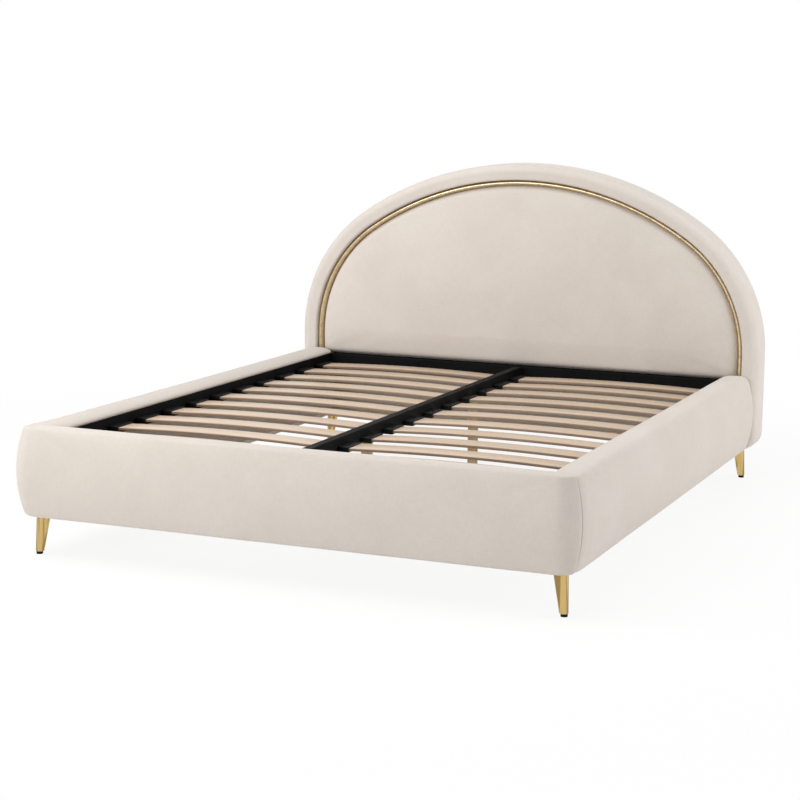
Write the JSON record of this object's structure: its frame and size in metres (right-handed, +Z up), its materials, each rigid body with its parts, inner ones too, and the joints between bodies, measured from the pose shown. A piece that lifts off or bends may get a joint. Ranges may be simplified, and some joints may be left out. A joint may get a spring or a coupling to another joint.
{
  "type": "upholstered bed",
  "caption": "Double bed with an arched, velvet-padded headboard, padded side and foot rails, tapered metal legs and a slatted steel base for a standard mattress.",
  "frame": {"origin": "on the floor, at the centre of the bed's outline", "axes": "+X across the bed to the right as seen from the foot end, +Y from the foot end to the headboard, +Z up"},
  "size_m": [1.864, 2.276, 1.164],
  "materials": {
    "velvet_border": "velvet",
    "velvet_panel": "velvet",
    "velvet_rails": "velvet",
    "velvet_foot": "velvet",
    "lining": "woven lining",
    "plywood": "raw",
    "pine": "planed",
    "beech": "satin lacquer",
    "brass": "brushed satin",
    "zinc": "zinc plated",
    "black_steel": "fine textured powder coat",
    "black_plastic": "matte"
  },
  "bodies": {
    "bed": {"headboard_board": "plywood", "headboard_posts": "pine", "headboard_rim": "pine", "headboard_border": "velvet_border", "headboard_panel": "velvet_panel", "headboard_trim": "brass", "headboard_back_cover": "lining", "rail_pad_left": "velvet_rails", "rail_pad_right": "velvet_rails", "footboard_pad": "velvet_foot", "rail_board_left": "pine", "rail_board_right": "pine", "foot_board": "pine", "corner_blocks": "pine", "corner_brackets": "zinc", "headboard_brackets": "zinc", "frame_bolts": "zinc", "leg_bolts": "zinc", "leg_plates": "zinc", "leg_front_left": "brass", "leg_front_right": "brass", "leg_rear_left": "brass", "leg_rear_right": "brass", "foot_caps": "black_plastic", "side_angle_left": "black_steel", "side_angle_right": "black_steel", "head_bar": "black_steel", "foot_bar": "black_steel", "centre_beam": "black_steel", "slat_holders_left": "black_plastic", "slat_holders_right": "black_plastic", "slat_holders_centre": "black_plastic", "centre_leg_front": "brass", "centre_leg_rear": "brass", "slat_left_1": "beech", "slat_left_2": "beech", "slat_left_3": "beech", "slat_left_4": "beech", "slat_left_5": "beech", "slat_left_6": "beech", "slat_left_7": "beech", "slat_left_8": "beech", "slat_left_9": "beech", "slat_left_10": "beech", "slat_left_11": "beech", "slat_right_1": "beech", "slat_right_2": "beech", "slat_right_3": "beech", "slat_right_4": "beech", "slat_right_5": "beech", "slat_right_6": "beech", "slat_right_7": "beech", "slat_right_8": "beech", "slat_right_9": "beech", "slat_right_10": "beech", "slat_right_11": "beech"},
    "glide_front": {"levelling_pad_front": "black_plastic"},
    "stem_front": {"levelling_stem_front": "zinc"},
    "glide_rear": {"levelling_pad_rear": "black_plastic"},
    "stem_rear": {"levelling_stem_rear": "zinc"}
  },
  "joints": [
    {"name": "level_slide_front", "type": "slide", "parent": "bed", "child": "glide_front", "axis": [0, 0, 1], "range_m": [-0.012, 0.008]},
    {"name": "stem_turn_front", "type": "hinge", "parent": "glide_front", "child": "stem_front", "pos_m": [0, -0.479, 0.04], "axis": [0, 0, 1], "range_deg": [-2900, 1935]},
    {"name": "level_slide_rear", "type": "slide", "parent": "bed", "child": "glide_rear", "axis": [0, 0, 1], "range_m": [-0.012, 0.008]},
    {"name": "stem_turn_rear", "type": "hinge", "parent": "glide_rear", "child": "stem_rear", "pos_m": [0, 0.49, 0.04], "axis": [0, 0, 1], "range_deg": [-2900, 1935]}
  ],
  "couplings": [
    {"joint": "stem_turn_front", "follows": "level_slide_front", "rad_per_m": 4188.8},
    {"joint": "stem_turn_rear", "follows": "level_slide_rear", "rad_per_m": 4188.8}
  ]
}
